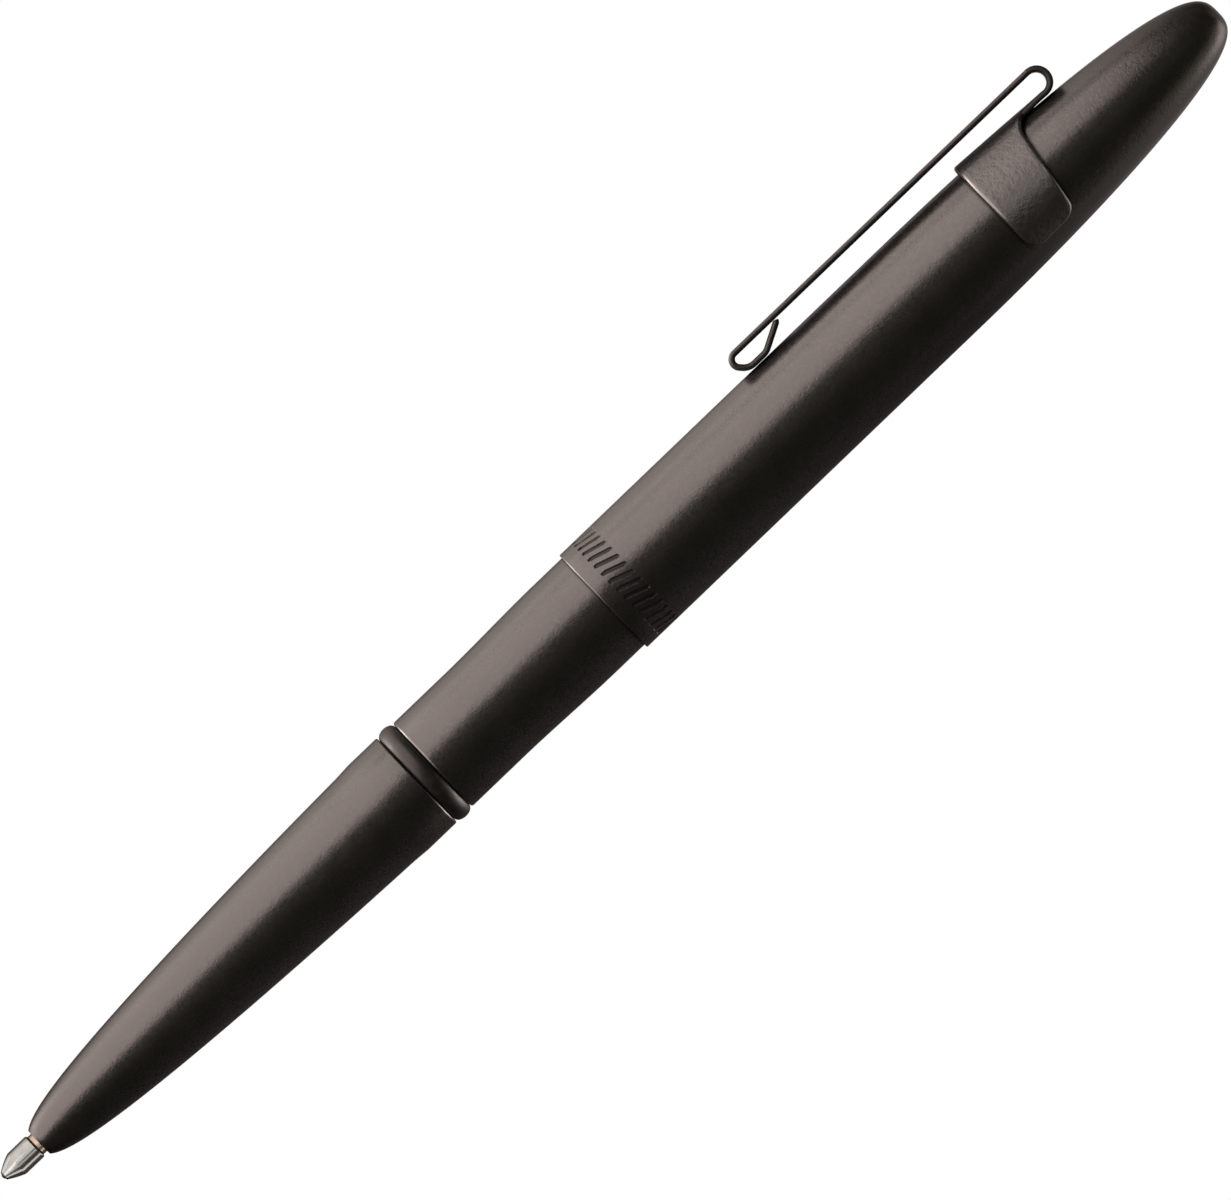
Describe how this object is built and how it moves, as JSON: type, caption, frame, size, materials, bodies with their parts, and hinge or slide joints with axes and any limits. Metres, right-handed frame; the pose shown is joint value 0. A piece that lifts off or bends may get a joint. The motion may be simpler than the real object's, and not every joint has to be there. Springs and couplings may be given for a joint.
{
  "type": "ballpoint pen",
  "caption": "Bullet-shaped pocket ballpoint pen with its clip-on cap posted on the rear end, built from its separate turned, drawn and sprung pieces.",
  "frame": {"origin": "front point of the writing ball, on the pen's axis", "axes": "+X along the pen's axis from the writing point to the cap's domed end, +Y towards the clip, +Z completes the right-handed frame"},
  "size_m": [0.1279, 0.0118, 0.0106],
  "materials": {
    "black_coat": "matte",
    "clip_coat": "matte",
    "ring_rubber": "satin",
    "spring_steel": "gloss",
    "point_steel": "polished",
    "ball_carbide": "polished",
    "neck_brass": "gloss",
    "tube_metal": "satin",
    "ink": "gloss",
    "float_plastic": "satin",
    "plug_plastic": "satin"
  },
  "bodies": {
    "barrel": {"barrel_tube": "black_coat", "tail_spring": "spring_steel"},
    "cap": {"cap_shell": "black_coat"},
    "clip": {"clip_saddle": "clip_coat"},
    "clip_arm": {"clip_arm": "clip_coat"},
    "ring": {"o_ring": "ring_rubber"},
    "section": {"front_section": "black_coat"},
    "refill": {"refill_tube": "tube_metal", "refill_neck": "neck_brass", "refill_tip": "point_steel", "refill_plug": "plug_plastic", "ink_column": "ink"},
    "float": {"float_piston": "float_plastic"},
    "ball": {"writing_ball": "ball_carbide"}
  },
  "joints": [
    {"name": "cap_slide", "type": "slide", "parent": "barrel", "child": "cap", "axis": [1, 0, 0], "range_m": [0, 0.04]},
    {"name": "clip_turn", "type": "hinge", "parent": "cap", "child": "clip", "pos_m": [0.1075, 0, 0], "axis": [1, 0, 0], "continuous": true},
    {"name": "clip_flex", "type": "hinge", "parent": "clip", "child": "clip_arm", "pos_m": [0.11422, 0.00696, 0], "axis": [0, 0, -1], "range_deg": [0, 5], "stiffness_Nm_per_rad": 0.1},
    {"name": "thread_advance", "type": "slide", "parent": "barrel", "child": "ring", "axis": [-1, 0, 0], "range_m": [0, 0.006]},
    {"name": "section_turn", "type": "hinge", "parent": "ring", "child": "section", "pos_m": [0.0443, 0, 0], "axis": [-1, 0, 0], "range_deg": [0, 2700]},
    {"name": "refill_recoil", "type": "slide", "parent": "barrel", "child": "refill", "axis": [1, 0, 0], "range_m": [0, 0.0006], "stiffness_N_per_m": 1000, "deforming": ["tail_spring"]},
    {"name": "float_advance", "type": "slide", "parent": "refill", "child": "float", "axis": [-1, 0, 0], "range_m": [0, 0.04], "deforming": ["ink_column"]},
    {"name": "ball_roll", "type": "hinge", "parent": "refill", "child": "ball", "pos_m": [0.00036, 0, 0], "axis": [0, 0, 1], "continuous": true}
  ],
  "couplings": [
    {"joint": "section_turn", "follows": "thread_advance", "rad_per_m": 7854}
  ]
}
